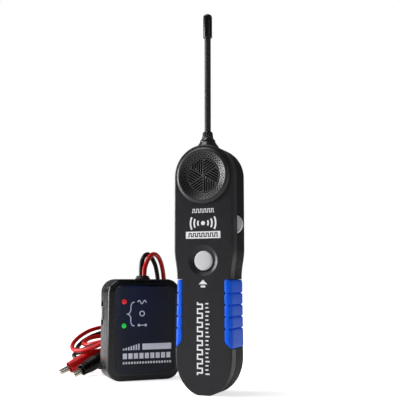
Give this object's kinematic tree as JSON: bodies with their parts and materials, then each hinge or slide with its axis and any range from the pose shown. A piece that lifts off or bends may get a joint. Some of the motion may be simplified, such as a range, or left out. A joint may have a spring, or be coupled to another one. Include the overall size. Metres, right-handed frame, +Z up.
{
  "type": "circuit breaker finder",
  "caption": "Hand-held wire-tracing receiver with a flexible antenna and blue grips, and its transmitter box with two crocodile-clip leads.",
  "frame": {"origin": "centre of the receiver's foot, on the surface that it stands on", "axes": "+Z up along the receiver to its antenna, -Y out of the receiver's face, +X to the face's right; the transmitter stands behind the receiver's left side, turned 45 degrees"},
  "size_m": [0.207, 0.1453, 0.2919],
  "materials": {
    "casing_black": "fine moulded texture",
    "casing_rear": "fine moulded texture",
    "grip_blue": "soft satin",
    "bezel_black": "satin",
    "grille_black": "satin",
    "button_white": "satin",
    "wheel_grey": "satin",
    "stem_rubber": "ribbed satin",
    "collar_plastic": "glossy",
    "print_white": "screen print",
    "transmitter_black": "fine moulded texture",
    "panel_blue_black": "satin film",
    "speaker_steel": "plated",
    "speaker_paper": "matt",
    "magnet_ferrite": "matt",
    "part_black": "moulded",
    "board_green": "solder mask",
    "cell_metal": "painted",
    "screw_steel": "plated",
    "coil_copper": "enamelled",
    "led_red": "tinted lens",
    "led_green": "tinted lens",
    "knob_white": "satin",
    "lead_red": "satin silicone",
    "lead_black": "satin silicone",
    "boot_red": "satin vinyl",
    "boot_black": "satin vinyl",
    "clip_nickel": "nickel plate"
  },
  "bodies": {
    "receiver": {"receiver_front_shell": "casing_black", "receiver_back_shell": "casing_rear", "grip_left": "grip_blue", "grip_right": "grip_blue", "speaker_bezel": "bezel_black", "speaker_grille": "grille_black", "speaker_frame": "speaker_steel", "speaker_cone": "speaker_paper", "speaker_magnet": "magnet_ferrite", "button_switch": "part_black", "wheel_potentiometer": "part_black", "receiver_board": "board_green", "receiver_battery": "cell_metal", "receiver_battery_snap": "part_black", "receiver_screws": "screw_steel", "antenna_collar": "collar_plastic", "antenna_nut": "collar_plastic"},
    "transmitter": {"transmitter_front_shell": "transmitter_black", "transmitter_back_shell": "transmitter_black", "transmitter_panel": "panel_blue_black", "mode_switch_body": "speaker_steel", "red_led": "led_red", "green_led": "led_green", "transmitter_board": "board_green", "transmitter_battery": "cell_metal", "transmitter_battery_snap": "part_black", "transmitter_screws": "screw_steel", "lead_gland": "part_black", "red_lead": "lead_red", "black_lead": "lead_black", "red_clip_fixed_jaw": "clip_nickel", "red_clip_pin": "clip_nickel", "red_clip_spring": "clip_nickel", "red_clip_boot": "boot_red", "black_clip_fixed_jaw": "clip_nickel", "black_clip_pin": "clip_nickel", "black_clip_spring": "clip_nickel", "black_clip_boot": "boot_black"},
    "test_button": {"test_button": "button_white"},
    "sensitivity_wheel": {"sensitivity_wheel": "wheel_grey"},
    "receiver_battery_door": {"receiver_battery_door": "casing_rear"},
    "stem_1": {"stem_segment_1": "stem_rubber"},
    "stem_2": {"stem_segment_2": "stem_rubber"},
    "stem_3": {"stem_segment_3": "stem_rubber"},
    "stem_4": {"stem_segment_4": "stem_rubber"},
    "stem_5": {"stem_segment_5": "stem_rubber"},
    "stem_6": {"stem_segment_6": "stem_rubber", "antenna_tip": "stem_rubber", "pickup_coil": "coil_copper"},
    "mode_switch_knob": {"mode_switch_knob": "knob_white"},
    "transmitter_battery_door": {"transmitter_battery_door": "transmitter_black"},
    "red_clip_jaw": {"red_clip_moving_jaw": "clip_nickel"},
    "black_clip_jaw": {"black_clip_moving_jaw": "clip_nickel"}
  },
  "joints": [
    {"name": "transmitter_lift", "type": "slide", "parent": "receiver", "child": "transmitter", "axis": [0, 0, 1], "range_m": [0, 0.12]},
    {"name": "button_press", "type": "slide", "parent": "receiver", "child": "test_button", "axis": [0, 1, 0], "range_m": [0, 0.0012], "stiffness_N_per_m": 900, "springref_m": -0.0004},
    {"name": "wheel_turn", "type": "hinge", "parent": "receiver", "child": "sensitivity_wheel", "pos_m": [0.0199, -0.0049, 0.1258], "axis": [0, 1, 0], "range_deg": [-135, 135]},
    {"name": "receiver_door_slide", "type": "slide", "parent": "receiver", "child": "receiver_battery_door", "axis": [0, 0, -1], "range_m": [0, 0.0095]},
    {"name": "mode_switch_slide", "type": "slide", "parent": "transmitter", "child": "mode_switch_knob", "axis": [0, 0, 1], "range_m": [-0.004, 0.004]},
    {"name": "transmitter_door_slide", "type": "slide", "parent": "transmitter", "child": "transmitter_battery_door", "axis": [0, 0, -1], "range_m": [0, 0.0095]},
    {"name": "red_clip_open", "type": "hinge", "parent": "transmitter", "child": "red_clip_jaw", "pos_m": [-0.1587, 0.0598, 0.00718], "axis": [-0.8572, 0.515, 0], "range_deg": [0, 18], "stiffness_Nm_per_rad": 0.06, "springref_deg": -11.46},
    {"name": "black_clip_open", "type": "hinge", "parent": "transmitter", "child": "black_clip_jaw", "pos_m": [-0.1388, 0.0482, 0.00718], "axis": [-0.9336, 0.3584, 0], "range_deg": [0, 18], "stiffness_Nm_per_rad": 0.06, "springref_deg": -11.46},
    {"name": "stem_bend_1", "type": "hinge", "parent": "receiver", "child": "stem_1", "pos_m": [0, -0.0049, 0.1997], "axis": [0, 1, 0], "range_deg": [-22, 22]},
    {"name": "stem_bend_2", "type": "hinge", "parent": "stem_1", "child": "stem_2", "pos_m": [0, -0.0049, 0.2119], "axis": [1, 0, 0], "range_deg": [-22, 22]},
    {"name": "stem_bend_3", "type": "hinge", "parent": "stem_2", "child": "stem_3", "pos_m": [0, -0.0049, 0.2241], "axis": [0, 1, 0], "range_deg": [-22, 22]},
    {"name": "stem_bend_4", "type": "hinge", "parent": "stem_3", "child": "stem_4", "pos_m": [0, -0.0049, 0.2363], "axis": [1, 0, 0], "range_deg": [-22, 22]},
    {"name": "stem_bend_5", "type": "hinge", "parent": "stem_4", "child": "stem_5", "pos_m": [0, -0.0049, 0.2485], "axis": [0, 1, 0], "range_deg": [-22, 22]},
    {"name": "stem_bend_6", "type": "hinge", "parent": "stem_5", "child": "stem_6", "pos_m": [0, -0.0049, 0.2607], "axis": [1, 0, 0], "range_deg": [-22, 22]}
  ],
  "couplings": [
    {"joint": "stem_bend_3", "follows": "stem_bend_1", "ratio": 1},
    {"joint": "stem_bend_4", "follows": "stem_bend_2", "ratio": 1},
    {"joint": "stem_bend_5", "follows": "stem_bend_1", "ratio": 1},
    {"joint": "stem_bend_6", "follows": "stem_bend_2", "ratio": 1}
  ]
}
